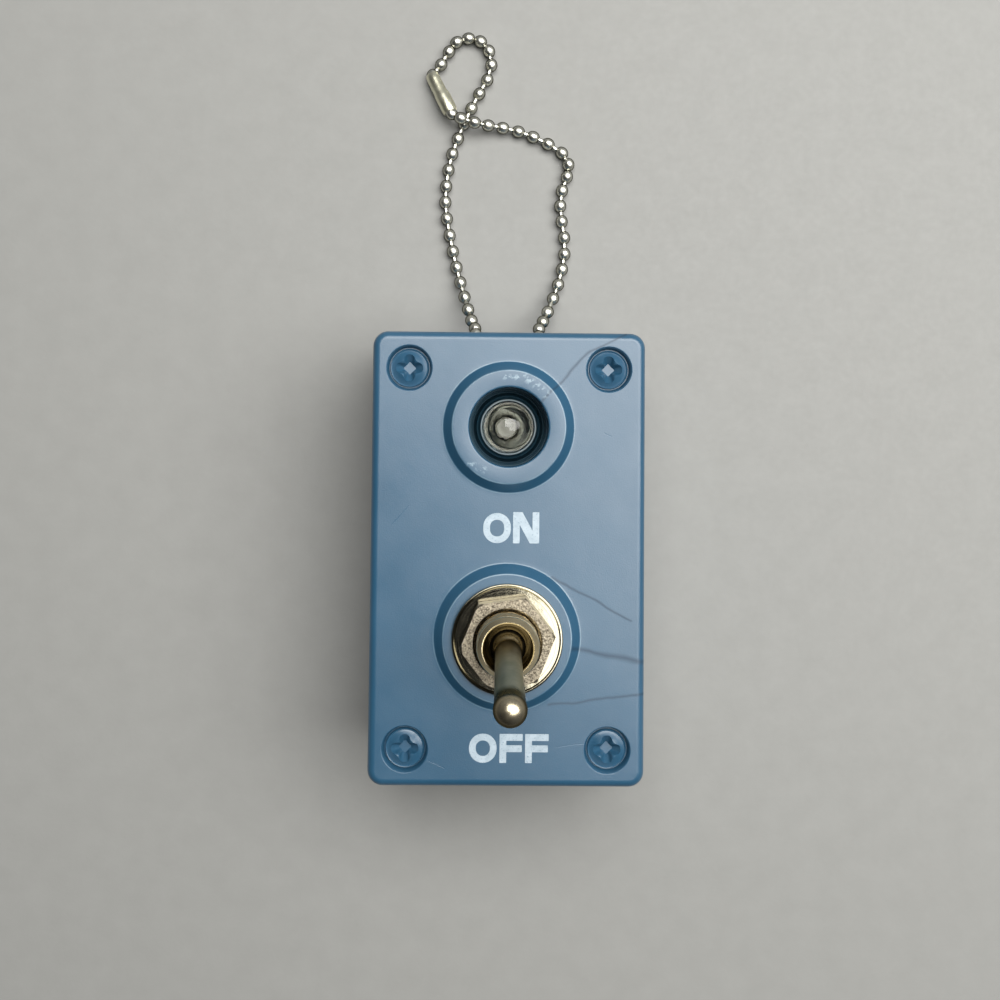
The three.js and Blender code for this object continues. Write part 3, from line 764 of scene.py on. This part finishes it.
def bead_centres(line):
    """Beads along a line: they sit closer together where it bends."""
    lengths = lengths_along(line)
    centres = []
    reach = BEAD_R
    while reach < lengths[-1] - BEAD_R / 2:
        here = point_at(line, lengths, reach)
        before = here - point_at(line, lengths, max(reach - BEND_REACH, 0))
        after = point_at(line, lengths, min(reach + BEND_REACH, lengths[-1])) - here
        bend = before.angle(after) / BEND_REACH
        centres.append(here)
        reach += max(TIGHTEST_PITCH, BEAD_PITCH - PITCH_LOSS * bend)
    return centres


def bead_profile():
    """A ball, a little longer than it is wide, with a dimple at each end where the wire goes in."""
    profile = [(0, -BEAD_R + 0.16), (0.2, -BEAD_R + 0.1), (0.25, -BEAD_R + 0.03)]
    for step in range(11):
        turn = math.radians(-66 + 132 * step / 10)
        profile.append((0.94 * BEAD_R * math.cos(turn), 1.05 * BEAD_R * math.sin(turn)))
    profile += [(0.25, BEAD_R - 0.03), (0.2, BEAD_R - 0.1), (0, BEAD_R - 0.16)]
    return profile


def seamed(radius, height, turn):
    """A bead's rolled seam: a shallow groove along one side."""
    return radius * (0.965 if turn < 0.01 and radius > 0.3 else 1)


def add_strand(bm, line):
    """Balls along a line, each turned to a side of its own, and the wire links between them."""
    centres = bead_centres(line)
    for i, centre in enumerate(centres):
        along = centres[min(i + 1, len(centres) - 1)] - centres[max(i - 1, 0)]
        roll = Matrix.Rotation(2 + 1.1 * math.sin(1.3 * i), 4, "Z")
        add_turned(bm, bead_profile(), 20, frame_along(centre, along) @ roll, seamed)
    for a, b in zip(centres, centres[1:]):
        length = (b - a).length
        link = [(0, 0), (LINK_R, 0), (LINK_R, length), (0, length)]
        add_turned(bm, link, 10, frame_along(a, b - a))


def make_connector():
    """A split sleeve that snaps over the last bead of each end: pinched ends, a waist and a slit."""
    start, end = CONNECTOR_ENDS
    length = (end - start).length
    outside = [(0.72, 0), (0.82, 0.25), (0.84, 0.9), (0.84, 0.48 * length), (0.9, 0.56 * length)]
    outside += [(0.9, length - 0.9), (0.86, length - 0.25), (0.74, length)]
    inside = [(0.6, length), (0.78, length - 0.3), (0.78, 0.3), (0.6, 0)]
    sleeve = turned("chain_clasp", outside + inside, 40)
    opening = block("opening", (-1, -2, -1), (0.45, -0.42, 0.52 * length))
    mouth = block("mouth", (-0.3, -2, 0.5 * length), (0.25, 0, length + 1))
    carved(sleeve, cuts=[opening, mouth])
    basis = (end - start).to_track_quat("Z", "X").to_matrix().to_4x4()
    sleeve.data.transform(Matrix.Translation(start) @ basis)
    return finish_piece(sleeve, CLASP_NICKEL, "case", ["chain_connector"], weighted=True)


def make_chain():
    line = spline(CHAIN_ROUTE)
    bm = bmesh.new()
    add_strand(bm, line)
    chain = new_object("ball_chain", bm)
    finish_piece(chain, CHAIN_NICKEL, "case", ["chain_strand_left", "chain_strand_right"])
    make_connector()


# ---- Case ----

CORNERS = [(sx * SCREW_X, sy * SCREW_Y) for sx, sy in ((-1, 1), (1, 1), (-1, -1), (1, -1))]


def boss(name, base_r, top_r, hole_r, edge, y):
    """A raised ring round a hole: filleted at its foot and rounded along both of its upper edges."""
    top = FACE_Z + BOSS_H
    under = FACE_Z - WALL - 0.04
    foot = FACE_Z + 0.003
    profile = filleted(
        [
            (hole_r, under),
            (base_r + 0.5, under),
            (base_r + 0.5, foot),
            (base_r, foot, 0.22),
            (top_r, top, 0.25),
            (hole_r, top, edge),
        ]
    )
    return turned(name, profile, 128, 0, y)


def head_tool(x, y):
    """Cuts a moulded screw head into the face: a sloping ring, a thin raised rim and a low dome."""
    dome = [(0, -0.04), (0.55, -0.06), (0.85, -0.14), (1.1, -0.26), (1.4, -0.46), (1.66, -0.62)]
    rim = [(1.74, -0.65), (1.8, -0.58), (1.85, -0.56), (1.89, -0.6)]
    rim += [(HEAD_R + 0.02, -HEAD_RING_DEPTH), (HEAD_R + 0.08, -HEAD_RING_DEPTH)]
    slope = [(HEAD_RING_R - 0.06, -0.16), (HEAD_RING_R - 0.02, -0.07), (HEAD_RING_R + 0.05, -0.01)]
    slope += [(HEAD_RING_R + 0.12, 0.01), (HEAD_RING_R + 0.12, 1), (0, 1)]
    profile = [(radius, FACE_Z + height) for radius, height in dome + rim + slope]
    return turned("head_tool", profile, 72, x, y)


def cross_outline(reach, half, corner, tip, inner):
    """A cross: its lobes have this reach and half width, and meet at (corner, corner)."""
    corners = []
    for quarter in range(4):
        turn = Matrix.Rotation(quarter * math.pi / 2, 2)
        for x, y, radius in ((reach, -half, tip), (reach, half, tip), (corner, corner, inner)):
            corners.append((*(turn @ Vector((x, y))), radius))
    return filleted(corners, 5)


def cross_tool(x, y, top=FACE_Z - 0.34, scale=1.0, depth=0.85):
    """Cuts a crossed recess: a flat diamond at the bottom, lobes that rise outwards and rounded edges."""
    # reach, half width, corner, radius at the tips, radius at the corners, level in depths
    sizes = [
        (0.6, 0.05, 0.31, 0.04, 0.05, -1),
        (0.78, 0.24, 0.37, 0.16, 0.12, -0.72),
        (1.2, 0.36, 0.42, 0.3, 0.2, -0.3),
        (1.36, 0.4, 0.47, 0.36, 0.24, -0.08),
        (1.44, 0.46, 0.56, 0.42, 0.28, 0.08),
        (1.6, 0.6, 0.74, 0.55, 0.34, 0.24),
        (1.6, 0.6, 0.74, 0.55, 0.34, 1.2),
    ]
    layers = []
    for reach, half, corner, tip, inner, level in sizes:
        outline = cross_outline(*[scale * value for value in (reach, half, corner, tip, inner)])
        layers.append((outline, top + level * depth))
    return stacked("cross_tool", layers, x, y)


def chain_hole_tool(x):
    """Cuts a hole with a softened edge through the end wall."""
    hole_r = CHAIN_HOLE_R
    profile = [(0, -2.5), (hole_r, -2.5), (hole_r, -0.2), (hole_r + 0.06, -0.06)]
    profile += [(hole_r + 0.22, 0.01), (hole_r + 0.22, 1), (0, 1)]
    tool = turned("chain_hole", profile, 48)
    tool.data.transform(frame_along(Vector((x, CASE_HIGH.y, CHAIN_HOLE_Z)), Vector((0, 1, 0))))
    return tool


def rod(name, radius, low, high, x, y, segments=48):
    """An upright cylinder."""
    return turned(name, [(0, low), (radius, low), (radius, high), (0, high)], segments, x, y)


def make_shell():
    """The front of the case: a hollow block with four posts, two bosses and moulded screw heads."""
    shell = rounded_block(
        "case_shell", CASE_WIDTH, CASE_LENGTH, CORNER_R, SPLIT_Z, FACE_Z, 0.06, FACE_EDGE_R
    )
    ceiling = FACE_Z - WALL
    inner = rounded_block("inner", CASE_WIDTH - 2 * WALL, CASE_LENGTH - 2 * WALL, 0.6, 0, ceiling)
    posts = [rod("post", 2.3, SPLIT_Z, ceiling + 0.5, x, y) for x, y in CORNERS]
    openings = [
        rod("opening", LED_HOLE_R + 0.6, ceiling - 1, FACE_Z + 1, 0, LED_Y, 60),
        rod("opening", BUSHING_HOLE_R + 0.6, ceiling - 1, FACE_Z + 1, 0, SWITCH_Y, 60),
    ]
    carved(shell, cuts=[inner, *openings])
    carved(
        shell,
        joins=[
            *posts,
            boss("led_boss", LED_BOSS_BASE_R, LED_BOSS_TOP_R, LED_HOLE_R, 0.2, LED_Y),
            boss("switch_boss", SWITCH_BOSS_BASE_R, SWITCH_BOSS_TOP_R, BUSHING_HOLE_R, 0.1, SWITCH_Y),
        ],
        cuts=[
            *[head_tool(x, y) for x, y in CORNERS],
            *[rod("pilot", 1.05, 0, 9, x, y, 24) for x, y in CORNERS],
            chain_hole_tool(-CHAIN_HOLE_X),
            chain_hole_tool(CHAIN_HOLE_X),
        ],
    )
    carved(shell, cuts=[cross_tool(x, y) for x, y in CORNERS])
    finish_piece(shell, BLUE, "case", ["front_shell"], 40, True)


def make_cover():
    """The back cover: a plate with countersunk holes, a locating rim and a ring for the cell."""
    cover = rounded_block("case_cover", CASE_WIDTH, CASE_LENGTH, CORNER_R, 0, COVER_T, BACK_EDGE_R, 0.05)
    cell_y = middle_mm("coin_cell").y
    root = COVER_T - 0.5
    width = CASE_WIDTH - 2 * (WALL + 0.15)
    length = CASE_LENGTH - 2 * (WALL + 0.15)
    rim = rounded_block("rim", width, length, 0.5, root, 3.2)
    inside = rounded_block("inside", width - 1.8, length - 1.8, 0.3, 0, 5)
    carved(rim, cuts=[inside, *[rod("gap", 2.6, COVER_T, 5, x, y) for x, y in CORNERS]])
    wall = [(10.3, root), (10.95, root), (10.95, 5.3), (10.85, 5.4), (10.4, 5.4), (10.3, 5.3)]
    ring = turned("ring", wall, 96, 0, cell_y)
    opening = block("opening", (-6, cell_y - 20, COVER_T), (6, cell_y - 5, 9))
    carved(ring, cuts=[opening, *[rod("gap", 2.6, COVER_T, 9, x, y) for x, y in CORNERS]])
    sink = [(0, -1), (2.1, -1), (2.1, -0.01), (2, 0.1), (2, 1.1), (1.1, 1.1), (1.1, 3), (0, 3)]
    carved(cover, joins=[rim, ring], cuts=[turned("sink", sink, 48, x, y) for x, y in CORNERS])
    finish_piece(cover, BLUE, "case", ["back_cover"], 40, True)


def make_cover_screw(index, x, y):
    """A pan head with a crossed recess, facing down, on a threaded shank."""
    head = [(0, 0.1), (1.15, 0.13), (1.55, 0.26), (1.76, 0.5), (1.8, 0.75), (1.76, 1.05), (SHANK_R, 1.05)]
    steps = 72
    shank = [(SHANK_R, 1.1 + 5.9 * i / steps) for i in range(steps + 1)]

    def threaded(radius, height, turn):
        if radius != SHANK_R or height < 1.2:
            return radius
        wave = abs(((height - SCREW_PITCH * turn / (2 * math.pi)) / SCREW_PITCH) % 1 - 0.5)
        return radius - SCREW_THREAD / 2 + SCREW_THREAD * wave * min(1, (7 - height) / 0.6)

    screw = turned(f"screw_{index}", [*head, *shank, (0, 8)], 32, x, y, threaded)
    tool = cross_tool(x, y, -0.1, 0.72, 0.75)
    tool.data.transform(Matrix.Diagonal((1, 1, -1, 1)))
    tool.data.flip_normals()
    carved(screw, cuts=[tool])
    finish_piece(screw, STEEL, "case", [f"cover_screw_{index}"], 40)


# ---- Labels ----

LABEL_T = 0.018
STROKE = 0.66
SOFT = 0.06  # radius of a letter's corners


def print_outline(name, outline, hole=None):
    """A printed letter: a thin raised layer of ink, with a hole for an O."""
    bm = bmesh.new()
    levels = []
    for z in (FACE_Z + 0.001, FACE_Z + LABEL_T):
        levels.append([[bm.verts.new((*p, z)) for p in loop] for loop in (outline, hole) if loop])
    for low, high in zip(*levels):
        join_rings(bm, low, high)
    for loops in levels:
        if hole:
            join_rings(bm, *loops)
        else:
            bm.faces.new(loops[0])
    finish_piece(new_object(name, bm), WHITE_INK, "case", (), 60)


def letter_o(name, left, right, low, high):
    middle = Vector(((left + right) / 2, (low + high) / 2))

    def loop(inset, radius):
        width, length = right - left - 2 * inset, high - low - 2 * inset
        return [middle + point for point in rounded_rectangle(width, length, radius)]

    print_outline(name, loop(0, 1.34), loop(STROKE, 0.66))


def letter_n(name, left, right, low, high):
    slant = 0.92
    notch = 1.25
    outline = [
        (left, low, SOFT),
        (left + STROKE, low, SOFT),
        (left + STROKE, high - notch),
        (right - slant, low, SOFT),
        (right, low, SOFT),
        (right, high, SOFT),
        (right - STROKE, high, SOFT),
        (right - STROKE, low + notch),
        (left + slant, high, SOFT),
        (left, high, SOFT),
    ]
    print_outline(name, filleted(outline, 3))


def letter_f(name, left, right, low, high):
    bar = (low + high) / 2 - 0.02
    outline = [
        (left, low, SOFT),
        (left + STROKE, low, SOFT),
        (left + STROKE, bar - STROKE / 2, SOFT),
        (right - 0.08, bar - STROKE / 2, SOFT),
        (right - 0.08, bar + STROKE / 2, SOFT),
        (left + STROKE, bar + STROKE / 2, SOFT),
        (left + STROKE, high - STROKE, SOFT),
        (right, high - STROKE, SOFT),
        (right, high, SOFT),
        (left, high, SOFT),
    ]
    print_outline(name, filleted(outline, 3))


# Left, right, low and high of each letter on the face.
LETTERS = [
    (letter_o, "label_on_o", -2.42, 0.29, 1.44, 4.39),
    (letter_n, "label_on_n", 0.51, 3.09, 1.44, 4.5),
    (letter_o, "label_off_o", -3.6, -0.9, -19.9, -17.08),
    (letter_f, "label_off_f1", -0.62, 1.64, -19.9, -17.1),
    (letter_f, "label_off_f2", 1.88, 4.18, -19.9, -17.1),
]


# ---- LED ----

def make_led():
    """A flanged lens with a round tip, and the cup, phosphor and post that show through it."""
    dome_z = LED_TIP_Z - LED_R
    shoulder = LED_BASE_Z + 1
    profile = [(0, LED_BASE_Z), (2.84, LED_BASE_Z), (2.9, LED_BASE_Z + 0.06), (2.9, shoulder - 0.08)]
    profile += [(2.84, shoulder), (LED_R + 0.08, shoulder), (LED_R, shoulder + 0.08)]
    steps = 24
    for step in range(steps + 1):
        turn = math.pi / 2 * step / steps
        reach = 0 if step == steps else LED_R * math.cos(turn)
        profile.append((reach, dome_z + LED_R * math.sin(turn)))
    lens = turned("led_dome", profile, 96, 0, LED_Y)
    finish_piece(lens, EPOXY, "case", ["led_lens"], 50)

    cup = [(0, 13.4), (0.26, 13.4), (0.26, 14.7), (0.5, 15.1), (0.56, 15.66), (0.53, 15.74), (0.48, 15.72)]
    cup += [(0.27, 15.35), (0, 15.35)]
    finish_piece(turned("led_cup", cup, 64, 0, LED_Y), CUP_PLATE, "case", (), 40)

    fill = [(0, 15.37), (0.22, 15.37), (0.3, 15.46), (0.27, 15.52), (0.2, 15.5), (0.12, 15.53), (0, 15.52)]
    finish_piece(turned("led_phosphor", fill, 48, 0, LED_Y), PHOSPHOR, "case", (), 60)

    pin = filleted([(-1.5, -0.25, 0.05), (-0.95, -0.25, 0.05), (-0.95, 0.25, 0.05), (-1.5, 0.25, 0.05)], 3)
    anode = stacked("led_anode_post", [(pin, 13.4), (pin, 15.2), ([p * 0.9 for p in pin], 15.3)], 0, LED_Y)
    finish_piece(anode, CUP_PLATE, "case", (), 40)


def make_led_holder():
    """A clip with a thin upright lip close round the LED."""
    profile = filleted(
        [
            (2, 12.4),
            (3.7, 12.4, 0.1),
            (3.7, 17.3),
            (5, 17.3, 0.1),
            (5, 18.2, 0.1),
            (3.78, 18.2, 0.06),
            (3.72, 16.3, 0.1),
            (3.5, 16.2, 0.1),
            (3.18, 17.2, 0.05),
            (3.06, 17.25, 0.05),
            (2.84, 17.6, 0.05),
            (2.8, 18.1, 0.05),
            (2.64, 18.15, 0.05),
            (2.6, 14.5),
            (3, 14.4),
            (3, 13.25),
            (2, 13.25),
        ],
        4,
    )
    holder = turned("led_clip", profile, 96, 0, LED_Y)
    finish_piece(holder, CLIP_PLASTIC, "case", ["led_holder"], 50)


# ---- Toggle switch ----

def make_washer():
    """A flat ring with a shallow groove near its edge."""
    low, high = WASHER_LOW_Z, WASHER_HIGH_Z
    profile = filleted(
        [
            (3.1, low, 0.05),
            (WASHER_R, low, 0.12),
            (WASHER_R, high, 0.12),
            (WASHER_R - 0.2, high),
            (WASHER_R - 0.28, high - 0.09),
            (WASHER_R - 0.36, high - 0.02),
            (3.3, high - 0.02),
            (3.1, high - 0.02, 0.08),
        ],
        5,
    )
    washer = turned("lock_washer", profile, 128, 0, SWITCH_Y)
    finish_piece(washer, WASHER_NICKEL, "case", ["washer"], 25, True)


def make_nut():
    """A hexagon whose corners are turned down at both ends, with a bevelled bore."""
    reach = NUT_FLATS / 2 / math.cos(math.pi / 6)
    corners = []
    for i in range(6):
        turn = NUT_TURN + math.pi / 2 + i * math.pi / 3
        corners.append((reach * math.cos(turn), reach * math.sin(turn), 0.12))
    hexagon = filleted(corners, 4)
    low, high = NUT_LOW_Z, NUT_HIGH_Z
    nut = stacked("nut", [(hexagon, low), (hexagon, high)], 0, SWITCH_Y)
    outer = reach + 0.15
    crown = [(0, low - 0.01), (reach - 0.35, low - 0.01), (outer, low + 0.32), (outer, high - 0.26)]
    crown += [(reach - 0.26, high), (0, high + 0.001)]
    bore = [(0, low - 1), (3.4, low - 1), (3.4, low - 0.01), (3.05, low + 0.25), (3.05, high - 0.3)]
    bore += [(3.35, high + 0.01), (3.35, high + 1), (0, high + 1)]
    crown_tool = turned("crown", crown, 96, 0, SWITCH_Y)
    bore_tool = turned("bore", bore, 96, 0, SWITCH_Y)
    carved(nut, commons=[crown_tool], cuts=[bore_tool])
    finish_piece(nut, NUT_NICKEL, "case", ["hex_nut"], 15, True)


def bushing_radius(radius, height, turn):
    """The thread on the outside: a wave that climbs one pitch each turn."""
    if radius != BUSHING_R:
        return radius
    wave = abs((height / THREAD_PITCH - turn / (2 * math.pi)) % 1 - 0.5) * 2
    return radius - THREAD_DEPTH * min(1, 1.25 * wave)


def make_bushing():
    """A threaded sleeve with a turned rim and a seat for the lever's ball."""
    low, high = BUSHING_BOTTOM_Z, BUSHING_TOP_Z
    steps = 138
    start = low + 0.1
    thread = [(BUSHING_R, start + (high - 0.95 - start) * i / steps) for i in range(steps + 1)]
    rim = [(2.95, -0.78), (2.93, -0.46), (2.86, -0.36), (2.52, -0.09), (2.46, 0), (2.38, 0)]
    rim += [(2.32, -0.05), (2.14, -0.34), (2.1, -0.4), (2.08, -0.7)]
    seat = [(1.72, 1.16), (1.68, 1.1), (1.7, 1.0), (1.98, 0.7), (1.98, -2), (2.6, -2.4)]
    profile = [(2.9, low), *thread]
    profile += [(radius, high + level) for radius, level in rim]
    profile += [(radius, PIVOT.z + level) for radius, level in seat]
    profile.append((2.6, low))
    bushing = turned("threaded_bushing", profile, 96, 0, SWITCH_Y, bushing_radius)
    finish_piece(bushing, BUSHING_NICKEL, "case", ["switch_bushing"], 40)


def make_lever():
    """The lever upright about its pivot: stem, ball, tapered rod and round tip."""
    start = math.acos(1.1 / BALL_R)
    stop = math.acos(LEVER_BASE_R / BALL_R)
    profile = [(0, -1.3), (0.75, -1.3), (0.75, -5.3), (1.02, -5.3), (1.1, -5.2)]
    steps = 20
    for step in range(steps + 1):
        turn = -start + (start + stop) * step / steps
        profile.append((BALL_R * math.cos(turn), BALL_R * math.sin(turn)))
    profile.append((LEVER_BASE_R - 0.02, BALL_R * math.sin(stop) + 0.12))
    profile += [(LEVER_BASE_R, 2), (LEVER_NECK_R, 11.2)]
    low = -math.acos(LEVER_NECK_R / LEVER_TIP_R)
    steps = 16
    for step in range(1, steps + 1):
        turn = low + (math.pi / 2 - low) * step / steps
        reach = 0 if step == steps else LEVER_TIP_R * math.cos(turn)
        profile.append((reach, LEVER_REACH + LEVER_TIP_R * math.sin(turn)))
    lever = turned("lever_rod", profile, 72)
    lever.data.transform(Matrix.Translation(PIVOT) @ Matrix.Rotation(THROW, 4, "X"))
    finish_piece(lever, ROD_NICKEL, "lever", ["toggle_lever"], 50)


# ---- Floor and light ----

LIGHT_Z = 440
FLOOR_REACH = 4000
# Each light covers the rectangle between two corners, and has a power in watts.
LIGHTS = {
    "key": ((19, -112), (300, 100), 0.98),
    "fill": ((-130, 25), (19, 100), 0.17),
    "window": ((-130, 100), (300, 370), 2.5),
    "side_window": ((300, -60), (560, 300), 1.7),
}


def add_light(name, low, high, power):
    """A soft rectangular light that faces straight down."""
    low, high = Vector(low) * MM, Vector(high) * MM
    data = bpy.data.lights.new(name, "AREA")
    data.shape = "RECTANGLE"
    data.size, data.size_y = high - low
    data.energy = power
    data.color = (1, 0.99, 0.965)
    light = bpy.data.objects.new(name, data)
    light.location = (*((low + high) / 2), LIGHT_Z * MM)
    SCENE.collection.objects.link(light)


def make_world():
    """Dim surroundings: dark overhead, lighter low down to the right and towards the chain."""
    world = bpy.data.worlds.new("studio")
    world.use_nodes = True
    tree = world.node_tree
    direction = add_node(tree, "ShaderNodeTexCoord").outputs["Generated"]
    lean = vector_math(tree, "DOT_PRODUCT", direction, (0.6, 0.75, 0))
    around = spread(tree, lean, 0.05, 0.35, -0.9, 0.9)
    overhead = spread(tree, height_of(tree, direction), 1, 0.12, 0.1, 0.95)
    background = tree.nodes["Background"]
    background.inputs["Color"].default_value = (0.95, 0.98, 1, 1)
    tree.links.new(calculate(tree, "MULTIPLY", around, overhead), background.inputs["Strength"])
    SCENE.world = world


def make_stage():
    """The paper that the object lies on, its lights and its surroundings."""
    bm = bmesh.new()
    bmesh.ops.create_grid(bm, x_segments=1, y_segments=1, size=FLOOR_REACH)
    floor = new_object("floor", bm)
    floor.data.transform(Matrix.Scale(MM, 4))
    floor.data.materials.append(PAPER)
    for name, (low, high, power) in LIGHTS.items():
        add_light(name, low, high, power)
    make_world()
    SCENE.view_settings.view_transform = "Standard"


# ---- Inner nodes of the CAD model ----

INNER_NODES = {
    STEEL: ["led_anode_lead", "led_cathode_lead", "coin_cell", "switch_frame", "plunger_spring"],
    NICKEL: ["terminal_off", "terminal_common", "terminal_on"],
    BRASS: ["contact_positive", "contact_negative", "rocker_contact"],
    RED_PLASTIC: ["switch_base"],
    WHITE_PLASTIC: ["lever_plunger"],
}


def dress(node, material):
    """Gives every slot of a CAD node one material."""
    for slot in bpy.data.objects[node].material_slots:
        slot.material = material


# ---- The scene ----

make_camera()
make_chain()
make_shell()
make_cover()
for index, (x, y) in enumerate(CORNERS, 1):
    make_cover_screw(index, x, y)
for make_letter, name, *edges in LETTERS:
    make_letter(name, *edges)
make_led()
make_led_holder()
make_washer()
make_nut()
make_bushing()
make_lever()
for material, nodes in INNER_NODES.items():
    for node in nodes:
        dress(node, material)
for node, material in WIRES.items():
    dress(node, material)
make_stage()
